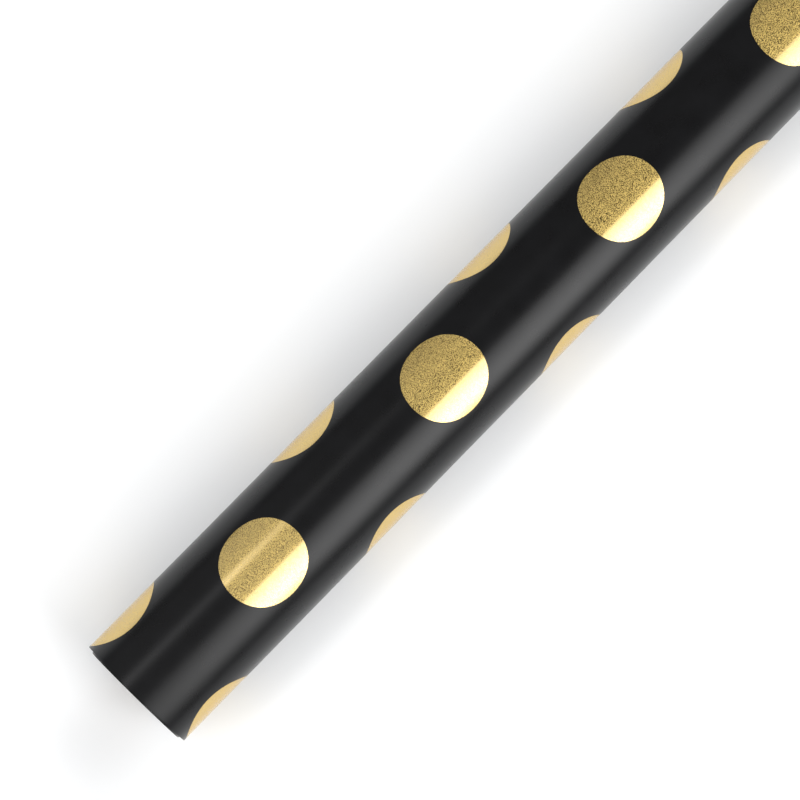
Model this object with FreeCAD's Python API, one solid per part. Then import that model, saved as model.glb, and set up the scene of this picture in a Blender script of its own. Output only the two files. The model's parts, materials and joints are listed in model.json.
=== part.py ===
import FreeCAD, Part
import math
import os

# A roll of gift wrapping paper: one printed sheet wound on a spiral-wound cardboard core.
# The roll lies along X, with the core's axis on X. The core and most of the sheet's turns
# start at x = 0.
# Angles round the roll are measured in degrees from +Z towards +Y.

# Driving sizes, in millimetres and degrees.
sheet_width = 762.0  # width of the sheet, which is the length of the roll
sheet_thickness = 0.10
core_bore_radius = 15.9
core_ply_thickness = 0.5  # one of the two layers of board
core_shortfall = 1.5  # how much shorter the core is than the sheet is wide
inner_pack_build = 0.8  # radial thickness of the first turns, wound a little to one side
inner_pack_shift = 0.6  # how far those first turns stand out at the x = 0 end
outer_pack_build = 1.55  # radial thickness of all later turns but the last
glue_strip_width = 5.0  # line of adhesive that holds the sheet's start to the core
glue_strip_thickness = 0.1
glue_strip_setback = 12.0  # bare board at each end of the line of adhesive
foil_thickness = 0.05
dot_radius = 13.3
dot_pitch = 76.2  # spacing of the dots along a row
straight_row_start = 53.1  # x of the first dot's centre in the rows at the top and underneath
staggered_row_start = 13.7  # x of the first dot's centre in the rows between them
top_row_angle = 1.6
tail_row_angle = 86.0
under_row_angle = 176.7
side_row_angle = 266.5
covered_row_angle = 86.9  # the row one turn further in, which the tail covers
tail_root_angle = 43.8
tail_edge_angle = 134.0
tail_strip_count = 5
tail_air_gap = 0.15  # room under the tail, over the foil of the turn beneath
crease_gap = 0.10  # room between two strips of the tail
edge_gap = 0.30  # room between the tail's cut edge and the turn that goes on beyond it

# Sizes that follow from them.
core_outer_radius = core_bore_radius + 2 * core_ply_thickness
inner_pack_radius = core_outer_radius + inner_pack_build
wound_radius = inner_pack_radius + outer_pack_build
tail_inner_radius = wound_radius + foil_thickness + tail_air_gap
sheet_radius = tail_inner_radius + sheet_thickness
roll_radius = sheet_radius + foil_thickness
strip_angle = (tail_edge_angle - tail_root_angle) / tail_strip_count
crease_half_angle = math.degrees(crease_gap / 2 / roll_radius)
edge_gap_angle = math.degrees(edge_gap / roll_radius)
full_turn = 360.0

# Turns a shape built along its own Z, from its own X, so that it lies along the roll:
# its Z becomes +X and its X becomes +Z.
along_roll = FreeCAD.Placement(
    FreeCAD.Vector(0, 0, 0),
    FreeCAD.Rotation(FreeCAD.Vector(0, 0, 1), FreeCAD.Vector(0, -1, 0), FreeCAD.Vector(1, 0, 0)),
)


def laid_along_roll(shape):
    laid = shape.copy()
    laid.Placement = along_roll.multiply(shape.Placement)
    return laid


def tube(inner_radius, outer_radius, start, length):
    """A full tube round the roll's axis."""
    base = FreeCAD.Vector(0, 0, start)
    outer = Part.makeCylinder(outer_radius, length, base)
    return laid_along_roll(outer.cut(Part.makeCylinder(inner_radius, length, base)))


def arc_shell(inner_radius, outer_radius, start, length, first_angle, last_angle):
    """The part of a tube between two angles round the roll."""
    base = FreeCAD.Vector(0, 0, start)
    axis = FreeCAD.Vector(0, 0, 1)
    sweep = last_angle - first_angle
    outer = Part.makeCylinder(outer_radius, length, base, axis, sweep)
    shell = outer.cut(Part.makeCylinder(inner_radius, length, base, axis))
    shell.rotate(FreeCAD.Vector(0, 0, 0), axis, -last_angle)
    return laid_along_roll(shell)


def foil_dot(inner_radius, x, angle):
    """A disc of foil, round when the sheet is flat, wrapped onto a cylinder."""
    outer_radius = inner_radius + foil_thickness
    half_angle = dot_radius / outer_radius
    skins = []
    outlines = []
    for radius in (inner_radius, outer_radius):
        surface = Part.Cylinder()
        surface.Radius = radius
        outline = Part.Geom2d.Ellipse2d(
            FreeCAD.Base.Vector2d(math.pi, dot_radius),
            FreeCAD.Base.Vector2d(math.pi - half_angle, 0),
            FreeCAD.Base.Vector2d(math.pi, 0),
        ).toShape(surface)
        skin = Part.Face(surface, Part.Wire([outline]))
        skin.validate()
        outlines.append(outline)
        skins.append(skin)
    rim = Part.makeRuledSurface(outlines[0], outlines[1])
    shell = Part.makeShell(skins + [rim])
    shell.sewShape()
    dot = Part.makeSolid(shell)
    dot.rotate(FreeCAD.Vector(0, 0, 0), FreeCAD.Vector(0, 0, 1), 180.0 - angle)
    dot.translate(FreeCAD.Vector(0, 0, x))
    return laid_along_roll(dot)


def foil_row(inner_radius, row_start, angle, first_angle, last_angle):
    """The dots of one row along the roll, cut off at two angles round it."""
    window = arc_shell(
        inner_radius - foil_thickness, inner_radius + 2 * foil_thickness,
        0, sheet_width, first_angle, last_angle,
    )
    row = []
    x = row_start
    while x + dot_radius < sheet_width:
        row.extend(foil_dot(inner_radius, x, angle).common(window).Solids)
        x += dot_pitch
    return row


def save(name, solids):
    shape = solids[0] if len(solids) == 1 else Part.makeCompound(solids)
    shape.exportStep("parts/" + name + ".step")


def build_core():
    """Two layers of board, and the line of adhesive that the sheet starts on."""
    core_length = sheet_width - core_shortfall
    ply_radius = core_bore_radius + core_ply_thickness
    save("core_inner_ply", [tube(core_bore_radius, ply_radius, 0, core_length)])
    save("core_outer_ply", [tube(ply_radius, core_outer_radius, 0, core_length)])
    half_angle = math.degrees(glue_strip_width / 2 / core_outer_radius)
    strip = arc_shell(
        core_outer_radius, core_outer_radius + glue_strip_thickness,
        glue_strip_setback, core_length - 2 * glue_strip_setback, -half_angle, half_angle,
    )
    save("start_glue_strip", [strip])
    return strip


def build_packs(glue_strip):
    """The wound turns: the first ones a little to one side, then the rest."""
    inner_pack = tube(core_outer_radius, inner_pack_radius, -inner_pack_shift, sheet_width)
    save("inner_wraps", [inner_pack.cut(glue_strip)])
    save("outer_wraps", [tube(inner_pack_radius, wound_radius, 0, sheet_width)])


def build_last_turn():
    """The last turn as far as the tail, with the foil rows that it carries."""
    first_angle = tail_edge_angle + edge_gap_angle
    last_angle = tail_root_angle + full_turn - crease_half_angle
    turn = arc_shell(wound_radius, sheet_radius, 0, sheet_width, first_angle, last_angle)
    save("outer_turn", [turn])
    rows = (
        ("foil_row_under", straight_row_start, under_row_angle),
        ("foil_row_side", staggered_row_start, side_row_angle),
        ("foil_row_top", straight_row_start, top_row_angle + full_turn),
    )
    for name, row_start, angle in rows:
        save(name, foil_row(sheet_radius, row_start, angle, first_angle, last_angle))
    covered = foil_row(
        wound_radius, staggered_row_start, covered_row_angle,
        tail_root_angle + crease_half_angle, tail_edge_angle,
    )
    save("foil_row_covered", covered)


def build_tail():
    """The sheet's loose end, as strips that unroll flat, each with its share of the foil."""
    rows = (
        (straight_row_start, top_row_angle),
        (staggered_row_start, tail_row_angle),
        (straight_row_start, under_row_angle),
    )
    for index in range(tail_strip_count):
        first_angle = tail_root_angle + index * strip_angle + crease_half_angle
        last_angle = tail_root_angle + (index + 1) * strip_angle
        if index < tail_strip_count - 1:
            last_angle -= crease_half_angle
        strip = arc_shell(
            tail_inner_radius, sheet_radius, 0, sheet_width, first_angle, last_angle,
        )
        save("tail_strip_" + str(index + 1), [strip])
        foil = []
        for row_start, angle in rows:
            foil.extend(foil_row(sheet_radius, row_start, angle, first_angle, last_angle))
        if foil:
            save("tail_foil_" + str(index + 1), foil)


os.makedirs("parts", exist_ok=True)
build_packs(build_core())
build_last_turn()
build_tail()
print("roll radius", round(roll_radius, 3), "strip angle", round(strip_angle, 3))
for index in range(tail_strip_count):
    crease_angle = math.radians(tail_root_angle + index * strip_angle)
    crease_y = roll_radius * math.sin(crease_angle)
    crease_z = roll_radius * math.cos(crease_angle)
    print("crease", index + 1, "y", round(crease_y, 4), "z", round(crease_z, 4))
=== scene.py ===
import bpy
import bmesh
import json
import numpy as np
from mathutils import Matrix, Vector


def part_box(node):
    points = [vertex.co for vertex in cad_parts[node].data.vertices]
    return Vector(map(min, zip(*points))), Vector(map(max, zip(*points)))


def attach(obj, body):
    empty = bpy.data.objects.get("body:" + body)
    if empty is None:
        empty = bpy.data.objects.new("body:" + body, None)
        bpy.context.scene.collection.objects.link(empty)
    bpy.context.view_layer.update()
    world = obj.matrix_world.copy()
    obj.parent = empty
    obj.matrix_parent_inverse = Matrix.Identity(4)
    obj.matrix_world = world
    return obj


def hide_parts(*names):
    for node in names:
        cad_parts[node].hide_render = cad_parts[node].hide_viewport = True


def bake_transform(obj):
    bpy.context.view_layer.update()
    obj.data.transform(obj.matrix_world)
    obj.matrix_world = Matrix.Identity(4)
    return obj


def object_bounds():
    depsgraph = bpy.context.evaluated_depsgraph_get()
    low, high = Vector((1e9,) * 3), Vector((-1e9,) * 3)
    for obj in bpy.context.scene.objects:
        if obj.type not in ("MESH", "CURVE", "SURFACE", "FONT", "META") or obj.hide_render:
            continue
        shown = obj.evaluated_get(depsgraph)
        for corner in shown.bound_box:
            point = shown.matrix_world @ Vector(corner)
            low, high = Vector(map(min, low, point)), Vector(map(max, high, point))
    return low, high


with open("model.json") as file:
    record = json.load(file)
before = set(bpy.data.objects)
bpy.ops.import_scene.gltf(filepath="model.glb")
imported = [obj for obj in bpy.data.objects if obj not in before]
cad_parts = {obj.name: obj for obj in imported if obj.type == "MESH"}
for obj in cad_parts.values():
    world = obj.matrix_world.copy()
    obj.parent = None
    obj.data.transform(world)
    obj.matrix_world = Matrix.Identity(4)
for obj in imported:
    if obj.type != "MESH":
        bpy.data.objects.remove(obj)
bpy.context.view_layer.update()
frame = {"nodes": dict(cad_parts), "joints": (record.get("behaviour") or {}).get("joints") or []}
hinges = frame["joints"]
mm = 0.001


def angleOf(y, z):
    # angle round the roll, from straight up towards +Y
    return np.arctan2(y, z)


def angleRange(node, around):
    # the angles that a CAD node reaches round the roll, as near as possible to the angle "around"
    points = np.array([v.co for v in frame["nodes"][node].data.vertices])
    turned = angleOf(points[:, 1], points[:, 2]) - around
    turned = (turned + np.pi) % (2 * np.pi) - np.pi + around
    return turned.min(), turned.max()


# places read from the frame
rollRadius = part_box("foil_row_top")[1].z      # outside of the foil
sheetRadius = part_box("outer_turn")[1].z       # outside of the paper
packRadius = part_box("inner_wraps")[1].z       # outside of the first turns, which stand out
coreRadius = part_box("core_outer_ply")[1].z
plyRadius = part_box("core_inner_ply")[1].z
boreRadius = 2 * plyRadius - coreRadius
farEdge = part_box("outer_wraps")[1].x
packShift = -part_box("inner_wraps")[0].x
creases = [float(angleOf(j["pos_m"][1], j["pos_m"][2])) for j in hinges]
creaseStep = creases[1] - creases[0]
cutEdge = creases[-1] + creaseStep            # angle of the sheet's cut edge


joinDistance = 1e-8           # points nearer than this are one point


def finishMesh(name, points, faces, materials, faceMaterials=None, sharpAngle=40):
    # makes an object from points and faces, joins coincident points, and turns a closed
    # shell outwards: its signed volume is the sum of a . (b x c) / 6 over its triangles
    mesh = bpy.data.meshes.new(name)
    mesh.from_pydata(points.tolist(), [], faces)
    for material in materials:
        mesh.materials.append(material)
    if faceMaterials is not None:
        mesh.polygons.foreach_set("material_index", np.asarray(faceMaterials, np.int32))
    shell = bmesh.new()
    shell.from_mesh(mesh)
    bmesh.ops.remove_doubles(shell, verts=shell.verts, dist=joinDistance)
    bmesh.ops.dissolve_degenerate(shell, edges=shell.edges, dist=joinDistance)
    if shell.calc_volume(signed=True) < 0:
        bmesh.ops.reverse_faces(shell, faces=shell.faces)
    shell.to_mesh(mesh)
    shell.free()
    mesh.polygons.foreach_set("use_smooth", np.ones(len(mesh.polygons), bool))
    mesh.set_sharp_from_angle(angle=np.radians(sharpAngle))
    piece = bpy.data.objects.new(name, mesh)
    bpy.context.scene.collection.objects.link(piece)
    return piece


def loopGrid(columns, around, offset=0):
    # faces of a grid of columns, each a closed loop of points: quads between neighbouring
    # columns, and one cap on the first and on the last column
    i, j = np.meshgrid(np.arange(columns - 1), np.arange(around), indexing="ij")
    k = (j + 1) % around
    here = i * around
    beyond = here + around
    quads = np.stack([here + j, here + k, beyond + k, beyond + j], -1)
    faces = (quads.reshape(-1, 4) + offset).tolist()
    firstCap = list(range(offset, offset + around))
    end = offset + columns * around - 1
    lastCap = list(range(end, end - around, -1))
    return faces, [firstCap, lastCap]


sheet = {
    "thickness": 0.085 * mm,
    "turnPitch": 0.10 * mm,      # radius lost in each turn inwards
    "edgeWander": 0.05 * mm,     # how far single turns stand out of line at the ends
    "packRamp": 0.6,             # turns over which the first turns slide out at the near end
    "waveHeight": 0.035 * mm,    # long shallow waves of a sheet that is wound by machine
    "waveLengths": (0.137, 0.083, 0.047),
    "columnAngle": np.radians(1.5),
    "rowLength": 6 * mm,
    "endRows": 3,                # rows of the turns that only show at the ends
    "sliver": 0.004,             # width of the narrow end columns, as a share of the stretch
    "slack": 0.25 * mm,          # how loose the winding lies
}
packTurns = (sheetRadius - packRadius) / sheet["turnPitch"]
coreTurns = (sheetRadius - coreRadius) / sheet["turnPitch"]


def waves(angle, x):
    # radial offset of the surface: three sine waves that cross at shallow angles
    longWave, midWave, shortWave = sheet["waveLengths"]
    height = np.sin(2 * np.pi * x / longWave + 1.3 * np.sin(angle) + 0.4)
    height = height + 0.7 * np.sin(2 * np.pi * x / midWave - 2.0 * np.cos(angle) + 2.1)
    height = height + 0.4 * np.sin(2 * np.pi * x / shortWave + 3 * angle)
    return sheet["waveHeight"] * height / 2.1      # the three heights 1, 0.7 and 0.4 add up to 2.1


def turnsAt(angle):
    # how many turns in from the cut edge an angle is
    return (cutEdge - angle) / (2 * np.pi)


def radiusAt(turns):
    # outside of the sheet, a number of turns in from its cut edge
    return sheetRadius + sheet["slack"] - sheet["turnPitch"] * turns


def endShift(turns):
    # how far the sheet's edges stand towards -X: the first turns by the pack's shift, and
    # every turn by a little of its own
    pack = np.clip((turns - packTurns) / sheet["packRamp"] + 0.5, 0, 1)
    wander = np.sin(turns * 2.3) + 0.6 * np.sin(turns * 5.1 + 1.0)
    return packShift * pack + sheet["edgeWander"] * wander * np.clip(turns, 0, 1)


def columnsBetween(first, last, step):
    # even columns, with a narrow one at each end so that neighbouring pieces shade as one
    count = max(2, int(np.ceil(abs(last - first) / step)))
    even = np.linspace(first, last, count + 1)
    sliver = (last - first) * sheet["sliver"]
    return np.concatenate([[first], [first + sliver], even[1:-1], [last - sliver], [last]])


def roundRoll(radius, angle, x):
    # the point at a radius and an angle round the roll: (x, r sin a, r cos a)
    return np.stack([x + 0 * angle, radius * np.sin(angle), radius * np.cos(angle)], -1)


def sheetStretch(name, firstTurn, lastTurn, step, rows=None):
    # a stretch of the wound sheet: at u turns in from the cut edge its outside lies at the
    # angle cutEdge - 2 pi u and the radius R - pitch * u + waves, its inside is one thickness
    # deeper, and x runs from edge to edge, less the shift of the ends
    turns = columnsBetween(firstTurn, lastTurn, step / (2 * np.pi))
    angle = cutEdge - 2 * np.pi * turns
    rows = rows or int(farEdge / sheet["rowLength"])
    across = columnsBetween(0, 1, 1 / rows)
    x = across[None, :] * farEdge - endShift(turns)[:, None]
    outside = radiusAt(turns)[:, None] + waves(angle[:, None], x)
    skin = roundRoll(outside, angle[:, None] + 0 * x, x)
    lining = roundRoll(outside - sheet["thickness"], angle[:, None] + 0 * x, x)
    points = np.concatenate([skin, lining[:, ::-1]], 1)
    columns, around = points.shape[:2]
    faces, caps = loopGrid(columns, around)
    printed = np.zeros(around, int)
    printed[len(across) - 1:] = 1             # far edge, inside and near edge are bare paper
    faceMaterials = np.concatenate([np.tile(printed, columns - 1), [1, 1]])
    finishes = [satinPrint, bareStock]
    return finishMesh(name, points.reshape(-1, 3), faces + caps, finishes, faceMaterials)


foil = {
    "radius": 13.3 * mm,
    "pitch": 76.2 * mm,
    "thickness": 0.03 * mm,
    "depth": 1.2,                # how deep the underside lies, in thicknesses: a little in the sheet
    "columns": 48,               # of a whole dot
    "fewestColumns": 6,
    "across": 16,
    "sharpAngle": 50,
    "leastAngle": 1e-4,          # a narrower piece of a dot is left out
}


def foilDots(name, centreAngle, firstX, count, turnOffset, lowAngle=-np.inf, highAngle=np.inf):
    # dots that were round on the flat sheet: at the arc distance a from a dot's centre its
    # half width is sqrt(r^2 - a^2), so x = centre + v * half width for v from -1 to 1; the
    # columns are spaced as a = -r cos(t), and end at two angles if those are given
    span = foil["radius"] / sheetRadius
    low = max(centreAngle - span, lowAngle)
    high = min(centreAngle + span, highAngle)
    if high - low < foil["leastAngle"]:
        return None
    ends = np.arccos(np.clip((centreAngle - np.array([low, high])) / span, -1, 1))
    share = abs(ends[1] - ends[0]) / np.pi
    columnCount = max(foil["fewestColumns"], int(foil["columns"] * share))
    t = columnsBetween(ends[0], ends[1], np.pi * share / columnCount)
    arc = -foil["radius"] * np.cos(t)
    angle = (centreAngle + arc / sheetRadius)[:, None]
    half = np.sqrt(np.clip(foil["radius"] ** 2 - arc ** 2, 0, None))[:, None]
    v = np.linspace(-1, 1, foil["across"] + 1)[None, :]
    turns = turnsAt(angle) + turnOffset
    points, faces = [], []
    for index in range(count):
        x = firstX + index * foil["pitch"] + v * half
        skin = radiusAt(turns) + waves(angle, x) + foil["thickness"]
        top = roundRoll(skin, angle + 0 * x, x)
        under = roundRoll(skin - foil["thickness"] * foil["depth"], angle + 0 * x, x)
        dot = np.concatenate([top, under[:, ::-1]], 1)
        columns, around = dot.shape[:2]
        quads, caps = loopGrid(columns, around, index * columns * around)
        faces += quads + caps
        points.append(dot.reshape(-1, 3))
    return finishMesh(name, np.concatenate(points), faces, [goldFoil], sharpAngle=foil["sharpAngle"])


def rowStart(node):
    # centre of the first dot, and how many there are
    low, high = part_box(node)
    count = round((high.x - low.x - 2 * foil["radius"]) / foil["pitch"]) + 1
    return low.x + foil["radius"], count


def rowAngle(nodes, around):
    # middle angle of a row of dots
    ends = np.array([angleRange(node, around) for node in nodes])
    return (ends.min() + ends.max()) / 2


core = {
    "stripPitch": 74 * mm,       # the lead of the helix, one strip of board wide
    "jointGap": 0.5 * mm,
    "columnsPerTurn": 48,
    "across": 6,
    "innerStart": 0.4,           # angle in radians at which each ply's strip starts
    "outerStart": 2.9,
    "leastWidth": 1e-6,          # the strip starts where the core's end leaves it wider than this
}


def corePly(name, innerRadius, outerRadius, start):
    # a strip of board wound in a helix: at the angle a the strip runs from x = p a / 2 pi to
    # one lead further, less the gap at the butt joint, and is cut off at the core's ends
    low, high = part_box(name)
    lead = core["stripPitch"]
    turns = (high.x - low.x) / lead + 1
    angle = np.linspace(0, 2 * np.pi * turns, int(core["columnsPerTurn"] * turns) + 1)[:, None]
    first = low.x - lead + lead * angle / (2 * np.pi)
    left = np.clip(first, low.x, high.x)
    right = np.clip(first + lead - core["jointGap"], low.x, high.x)
    x = left + (right - left) * np.linspace(0, 1, core["across"] + 1)[None, :]
    turned = angle + start + 0 * x
    skin = roundRoll(outerRadius + 0 * x, turned, x)
    lining = roundRoll(innerRadius + 0 * x, turned, x)
    points = np.concatenate([skin, lining[:, ::-1]], 1)
    wide = (right - left)[:, 0] > core["leastWidth"]
    points = points[max(0, np.argmax(wide) - 1):]
    columns, around = points.shape[:2]
    faces, caps = loopGrid(columns, around)
    return finishMesh(name + "_wound", points.reshape(-1, 3), faces + caps, [kraftBoard])


def srgb(code):
    # sRGB hex to linear colour
    parts = [int(code[i:i + 2], 16) / 255 for i in (1, 3, 5)]
    return (*[c / 12.92 if c <= 0.04045 else ((c + 0.055) / 1.055) ** 2.4 for c in parts], 1.0)


def addNode(tree, kind, inputs, stops=None, **settings):
    # adds a node: inputs maps a socket's name or number to a value or to another node's
    # socket, and stops are the (position, colour) pairs of a colour ramp
    node = tree.nodes.new("ShaderNode" + kind)
    for key, value in settings.items():
        setattr(node, key, value)
    for key, value in inputs.items():
        if isinstance(value, bpy.types.NodeSocket):
            tree.links.new(value, node.inputs[key])
        else:
            node.inputs[key].default_value = value
    if stops:
        elements = node.color_ramp.elements
        elements[0].position, elements[0].color = stops[0]
        elements[1].position, elements[1].color = stops[-1]
        for position, colour in stops[1:-1]:
            elements.new(position).color = colour
    return node


def newMaterial(name):
    # an empty material, its node tree and the place on the object
    material = bpy.data.materials.new(name)
    material.use_nodes = True
    tree = material.node_tree
    tree.nodes.clear()
    return material, tree, addNode(tree, "TexCoord", {}).outputs["Object"]


def finishMaterial(tree, inputs):
    # the surface, and the output that shows it
    surface = addNode(tree, "BsdfPrincipled", inputs)
    addNode(tree, "OutputMaterial", {"Surface": surface.outputs["BSDF"]})


def satinPrintMaterial():
    # coated paper, printed solid black and sealed with a satin varnish:
    # a deep black that carries a soft sheen along the roll
    material, tree, place = newMaterial("satin_varnished_print")
    mottled = {"Vector": place, "Scale": 1 / (9 * mm), "Detail": 3}
    mottle = addNode(tree, "TexNoise", mottled).outputs["Fac"]
    grained = {"Vector": place, "Scale": 1 / (0.45 * mm), "Detail": 2}
    grain = addNode(tree, "TexNoise", grained).outputs["Fac"]
    blacks = [(0.3, srgb("#080809")), (0.7, srgb("#0C0C0E"))]
    colour = addNode(tree, "ValToRGB", {"Fac": mottle}, blacks).outputs["Color"]
    satin = {"Value": mottle, "To Min": 0.25, "To Max": 0.31}
    roughness = addNode(tree, "MapRange", satin).outputs["Result"]
    raised = {"Height": grain, "Strength": 0.5, "Distance": 0.006 * mm}
    normal = addNode(tree, "Bump", raised).outputs["Normal"]
    # the varnish's IOR is a little under the usual 1.45 to 1.5, to keep the edges dark
    finishMaterial(tree, {"Base Color": colour, "Roughness": roughness, "IOR": 1.35, "Normal": normal})
    return material


def bareStockMaterial():
    # the unprinted back and the cut edges of white coated paper: matt, faintly fibrous
    material, tree, place = newMaterial("bare_white_stock")
    fibrous = {"Vector": place, "Scale": 1 / (0.8 * mm), "Detail": 4}
    fibre = addNode(tree, "TexNoise", fibrous).outputs["Fac"]
    whites = [(0.3, srgb("#DEDCD6")), (0.7, srgb("#EFEDE8"))]
    colour = addNode(tree, "ValToRGB", {"Fac": fibre}, whites).outputs["Color"]
    raised = {"Height": fibre, "Strength": 0.3, "Distance": 0.01 * mm}
    normal = addNode(tree, "Bump", raised).outputs["Normal"]
    finishMaterial(tree, {"Base Color": colour, "Roughness": 0.8, "IOR": 1.5, "Normal": normal})
    return material


def goldFoilMaterial():
    # hot-stamped metallised foil under a clear lacquer: a warm mirror where it is pressed
    # flat, and hazy grains where the fibres of the paper lift it; the grains of real foil are
    # finer, and are drawn 0.24 mm across here so that they show
    material, tree, place = newMaterial("hot_stamped_gold_foil")
    speckled = {"Vector": place, "Scale": 1 / (0.24 * mm), "Detail": 1.0, "Roughness": 0.5}
    speck = addNode(tree, "TexNoise", speckled).outputs["Fac"]
    edges = {"Value": speck, "From Min": 0.36, "From Max": 0.64}
    grain = addNode(tree, "MapRange", edges, interpolation_type="SMOOTHSTEP").outputs["Result"]
    haze = {"Value": grain, "To Min": 0.11, "To Max": 0.66}
    roughness = addNode(tree, "MapRange", haze).outputs["Result"]
    golds = [(0.36, srgb("#C9AA63")), (0.62, srgb("#E2C777"))]
    colour = addNode(tree, "ValToRGB", {"Fac": speck}, golds).outputs["Color"]
    raised = {"Height": speck, "Strength": 0.25, "Distance": 0.004 * mm}
    finishMaterial(tree, {
        "Base Color": colour,
        "Metallic": 1.0,
        "Specular Tint": srgb("#DCC294"),
        "Roughness": roughness,
        "Coat Weight": 1.0,
        "Coat Roughness": 0.12,
        "Coat IOR": 1.7,
        "Normal": addNode(tree, "Bump", raised).outputs["Normal"],
    })
    return material


def kraftBoardMaterial():
    # grey-brown kraft board made from recycled pulp: matt, with long fibres and dark specks
    material, tree, place = newMaterial("kraft_board")
    drawnOut = addNode(tree, "Mapping", {"Vector": place, "Scale": (0.35, 1, 1)}).outputs["Vector"]
    fibrous = {"Vector": drawnOut, "Scale": 1 / (1.1 * mm), "Detail": 5, "Roughness": 0.65}
    fibre = addNode(tree, "TexNoise", fibrous).outputs["Fac"]
    flecked = {"Vector": place, "Scale": 1 / (0.7 * mm), "Detail": 1}
    fleck = addNode(tree, "TexNoise", flecked).outputs["Fac"]
    browns = [(0.3, srgb("#8A6E4C")), (0.5, srgb("#A98C64")), (0.72, srgb("#C3A880"))]
    colour = addNode(tree, "ValToRGB", {"Fac": fibre}, browns).outputs["Color"]
    specks = [(0.70, srgb("#FFFFFF")), (0.76, srgb("#8C7A66"))]
    dark = addNode(tree, "ValToRGB", {"Fac": fleck}, specks).outputs["Color"]
    both = {0: 0.8, 6: colour, 7: dark}
    mixed = addNode(tree, "Mix", both, data_type="RGBA", blend_type="MULTIPLY").outputs[2]
    raised = {"Height": fibre, "Strength": 0.6, "Distance": 0.04 * mm}
    normal = addNode(tree, "Bump", raised).outputs["Normal"]
    finishMaterial(tree, {"Base Color": mixed, "Roughness": 0.9, "IOR": 1.5, "Normal": normal})
    return material


def driedAdhesiveMaterial():
    # hot-melt adhesive set to a milky film
    material, tree, place = newMaterial("hot_melt_adhesive")
    lumpy = {"Vector": place, "Scale": 1 / (2 * mm), "Detail": 2}
    lumps = addNode(tree, "TexNoise", lumpy).outputs["Fac"]
    creams = [(0.3, srgb("#D8CFB4")), (0.7, srgb("#EDE6D2"))]
    colour = addNode(tree, "ValToRGB", {"Fac": lumps}, creams).outputs["Color"]
    raised = {"Height": lumps, "Strength": 0.5, "Distance": 0.05 * mm}
    normal = addNode(tree, "Bump", raised).outputs["Normal"]
    finishMaterial(tree, {"Base Color": colour, "Roughness": 0.4, "Normal": normal})
    return material


floorCard = {
    "halfSize": 6.0,
    "cloud": 0.5,                # about how wide the card's faint clouds are
    "pale": 0.03,                # half width of the strip where the card is palest
    "grey": 0.7,                 # distance from the roll at which it has run out to grey
}


def paleFloorMaterial():
    # a floor that is white near the roll and turns softly grey further out on both sides
    material, tree, place = newMaterial("white_card_floor")
    cloudy = {"Vector": place, "Scale": 1 / floorCard["cloud"], "Detail": 2}
    cloud = addNode(tree, "TexNoise", cloudy).outputs["Fac"]
    whites = [(0.3, srgb("#EFF0F1")), (0.7, srgb("#F3F4F5"))]
    card = addNode(tree, "ValToRGB", {"Fac": cloud}, whites).outputs["Color"]
    sideways = addNode(tree, "SeparateXYZ", {0: place}).outputs["Y"]
    away = addNode(tree, "Math", {0: sideways}, operation="ABSOLUTE").outputs[0]
    spread = {"Value": away, "From Min": floorCard["pale"], "From Max": floorCard["grey"]}
    beyond = addNode(tree, "MapRange", spread).outputs["Result"]
    both = {0: beyond, 6: card, 7: srgb("#B2B3B4")}
    mixed = addNode(tree, "Mix", both, data_type="RGBA").outputs[2]
    finishMaterial(tree, {"Base Color": mixed, "Roughness": 0.9})
    return material


satinPrint = satinPrintMaterial()
bareStock = bareStockMaterial()
goldFoil = goldFoilMaterial()
kraftBoard = kraftBoardMaterial()
driedAdhesive = driedAdhesiveMaterial()
print("materials made")


def seat(piece, body, nodes):
    # a piece that rides on one body and stands for CAD nodes
    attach(piece, body)
    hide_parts(*nodes)


tail = {
    "rootLead": np.radians(2.8),     # how far before the first crease the loose end begins to bend
    "coveredLap": np.radians(12),    # how far the last turn is carried on under the next one
    "coilStep": np.radians(5),       # column spacing of the turns that only show at the ends
}
rootAngle = creases[0] - tail["rootLead"]
coveredEnd = 1 + turnsAt(rootAngle - tail["coveredLap"])

lastTurn = sheetStretch("last_turn", turnsAt(rootAngle), coveredEnd, sheet["columnAngle"])
seat(lastTurn, "roll", ["outer_turn"])
laterTurns = sheetStretch("later_turns", coveredEnd, packTurns, tail["coilStep"], sheet["endRows"])
seat(laterTurns, "roll", ["outer_wraps"])
firstTurns = sheetStretch("first_turns", packTurns, coreTurns, tail["coilStep"], sheet["endRows"])
seat(firstTurns, "roll", ["inner_wraps"])
print("wound sheet made:", round(coreTurns, 1), "turns")

# the wound rows: the angle near which each one lies, and how many turns further in it is
woundRows = {
    "foil_row_top": (0, 0),
    "foil_row_side": (np.radians(-90), 0),
    "foil_row_under": (np.radians(-180), 0),
    "foil_row_covered": (np.radians(90), 1),
}
for node, (guess, turnOffset) in woundRows.items():
    start, count = rowStart(node)
    dots = foilDots(node + "_stamped", rowAngle([node], guess), start, count, turnOffset)
    seat(dots, "roll", [node])

innerPly = corePly("core_inner_ply", boreRadius, plyRadius, core["innerStart"])
seat(innerPly, "roll", ["core_inner_ply"])
outerPly = corePly("core_outer_ply", plyRadius, coreRadius, core["outerStart"])
seat(outerPly, "roll", ["core_outer_ply"])
glueLine = frame["nodes"]["start_glue_strip"]
glueLine.data.materials.clear()
glueLine.data.materials.append(driedAdhesive)
print("foil rows and core made")


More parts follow.
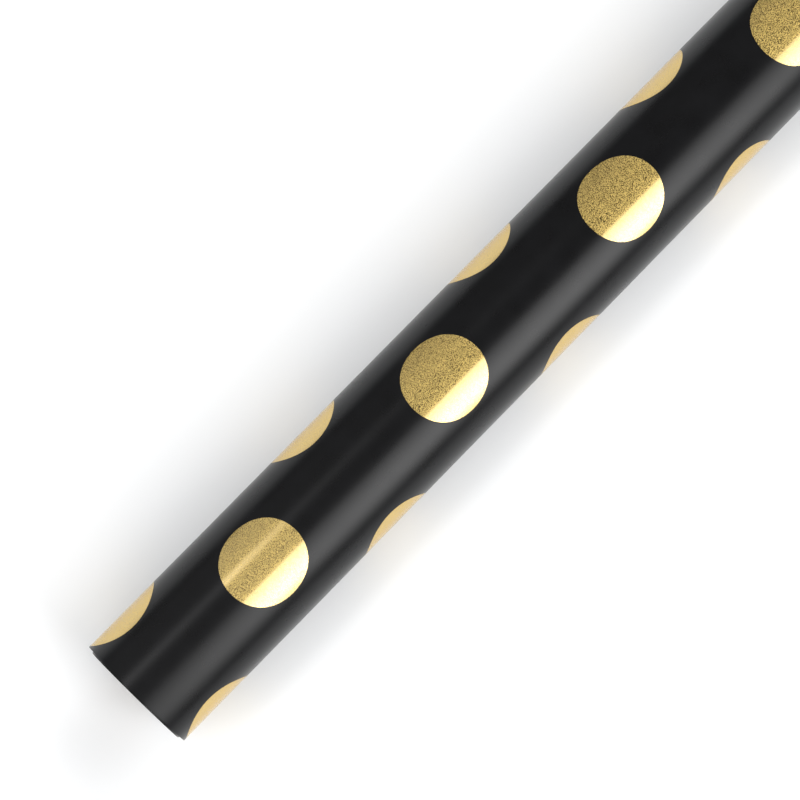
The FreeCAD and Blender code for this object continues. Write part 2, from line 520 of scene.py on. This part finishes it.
# the loose end: each stretch runs from the middle of one strip to the middle of the next
tailFoils = ["tail_foil_%d" % (i + 1) for i in range(len(creases))]
tailRowAngle = rowAngle(tailFoils, np.radians(90))
tailRowStart, tailRowCount = rowStart("tail_foil_3")
bodies = ["roll"] + [j["child"] for j in hinges]
middles = [rootAngle] + [c + creaseStep / 2 for c in creases] + [cutEdge]
for index in range(len(bodies)):
    low, high = middles[index], middles[index + 1]
    number = str(index + 1)
    strip = sheetStretch("loose_end_" + number, turnsAt(high), turnsAt(low), sheet["columnAngle"])
    dots = foilDots("loose_end_foil_" + number, tailRowAngle, tailRowStart, tailRowCount, 0, low, high)
    for kind, slot, piece in (("tail_strip_", "gift_paper", strip), ("tail_foil_", "gold_foil", dots)):
        if piece is None:
            continue
        if index < len(creases):
            start = roundRoll(sheetRadius, np.array(low), 0.0)
            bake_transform(piece)
            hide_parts(kind + str(index + 1))
        else:
            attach(piece, bodies[index])
print("loose end made in", len(bodies), "stretches")


# The lights, in the order in which they are added up. The brightness of each is its strength,
# times its profile against the angle from straight up round the roll, times its fades. A fade
# names an axis, how it runs, the span it covers, and its value at the two ends of the span.
studio = {
    "sky": {                         # overhead: brighter above the near end, dark at the horizon
        "fades": [("along", "SMOOTHSTEP", (0.0, 0.2), (0.60, 0.137)),
                  ("up", "SMOOTHSTEP", (0.05, 0.35), (0.2, 1))],
    },
    "window": {                      # large soft light on the -Y side
        "strength": 8.25,
        "side": -1,
        "profile": [(18.8, 0), (20.5, 0.34), (31, 0.6), (42, 0.88), (53, 1), (60, 0.95),
                    (66, 0.70), (72, 0.42), (80, 0.12), (88, 0)],
        "fades": [("along", "SMOOTHSTEP", (-0.06, 0.04), (0, 1)),
                  ("along", "SMOOTHSTEP", (0.30, 0.42), (1, 0))],
    },
    "reflector": {                   # small soft light above the near end, on the +Y side
        "strength": 4.5,
        "side": 1,
        "profile": [(18, 0), (23, 1), (28, 1), (34, 0)],
        "fades": [("along", "SMOOTHSTEP", (-0.04, 0.09), (1, 0)),
                  ("up", "SMOOTHSTEP", (0.05, 0.35), (0.2, 1))],
    },
    "sideSky": {                     # a little more sky low on the +Y side
        "strength": 0.10,
        "side": 1,
        "profile": [(30, 0), (50, 1), (78, 1), (90, 0)],
        "fades": [],
    },
    "endFill": {                     # beyond both ends: lifts the shadows, and isn't mirrored
        "strength": 2.9,             # along the roll
        "fades": [("eitherEnd", "SMOOTHSTEP", (0.5, 0.7), (0, 1)),
                  ("across", "LINEAR", (-1, 1), (0.4, 1.6)),
                  ("along", "LINEAR", (-1, 1), (0.4, 1.6)),
                  ("up", "SMOOTHSTEP", (0.05, 0.45), (0, 1))],
    },
}

world = bpy.data.worlds.new("studio")
bpy.context.scene.world = world
world.use_nodes = True
sky = world.node_tree
sky.nodes.clear()
direction = addNode(sky, "TexCoord", {}).outputs["Generated"]
towards = addNode(sky, "SeparateXYZ", {0: direction})
axes = {"along": towards.outputs["X"], "across": towards.outputs["Y"], "up": towards.outputs["Z"]}
axes["eitherEnd"] = addNode(sky, "Math", {0: axes["along"]}, operation="ABSOLUTE").outputs[0]
fromUp = {0: axes["across"], 1: axes["up"]}
tilt = addNode(sky, "Math", fromUp, operation="ARCTAN2").outputs[0]
total = 0.0
for light in studio.values():
    brightness = light.get("strength", 1.0)
    factors = []
    if "profile" in light:
        quarters = {0: tilt, 1: light["side"] * 2 / np.pi}
        share = addNode(sky, "Math", quarters, operation="MULTIPLY").outputs[0]
        stops = [(angle / 90, (value, value, value, 1)) for angle, value in light["profile"]]
        factors.append(addNode(sky, "ValToRGB", {"Fac": share}, stops).outputs["Color"])
    for axis, run, span, ends in light["fades"]:
        fade = {"Value": axes[axis], "From Min": span[0], "From Max": span[1],
                "To Min": ends[0], "To Max": ends[1]}
        factors.append(addNode(sky, "MapRange", fade, interpolation_type=run).outputs["Result"])
    for factor in factors:
        product = {0: brightness, 1: factor}
        brightness = addNode(sky, "Math", product, operation="MULTIPLY").outputs[0]
    total = addNode(sky, "Math", {0: total, 1: brightness}, operation="ADD").outputs[0]
background = addNode(sky, "Background", {"Strength": total})
addNode(sky, "OutputWorld", {"Surface": background.outputs[0]})

corners = np.array([[-1, -1, 0], [1, -1, 0], [1, 1, 0], [-1, 1, 0]], float)
floorPoints = corners * floorCard["halfSize"]
floorPoints[:, 2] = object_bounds()[0].z
floorMesh = bpy.data.meshes.new("floor")
floorMesh.from_pydata(floorPoints.tolist(), [], [[0, 1, 2, 3]])
floorMesh.materials.append(paleFloorMaterial())
floor = bpy.data.objects.new("floor", floorMesh)
bpy.context.scene.collection.objects.link(floor)

view = {
    "place": (0.9029, 0.0134, 40.2115),   # in roll radii
    "turn": (0.0948, -0.0837, -0.7978),
    "lens": 118.355,
    "sensor": 36,
    "nearClip": 0.01,
}
cameraData = bpy.data.cameras.new("camera")
cameraData.lens = view["lens"]
cameraData.sensor_width = view["sensor"]
cameraData.clip_start = view["nearClip"]
camera = bpy.data.objects.new("camera", cameraData)
camera.location = [rollRadius * c for c in view["place"]]
camera.rotation_euler = view["turn"]
bpy.context.scene.collection.objects.link(camera)
bpy.context.scene.camera = camera
bpy.context.scene.view_settings.view_transform = "Standard"
print("studio made")
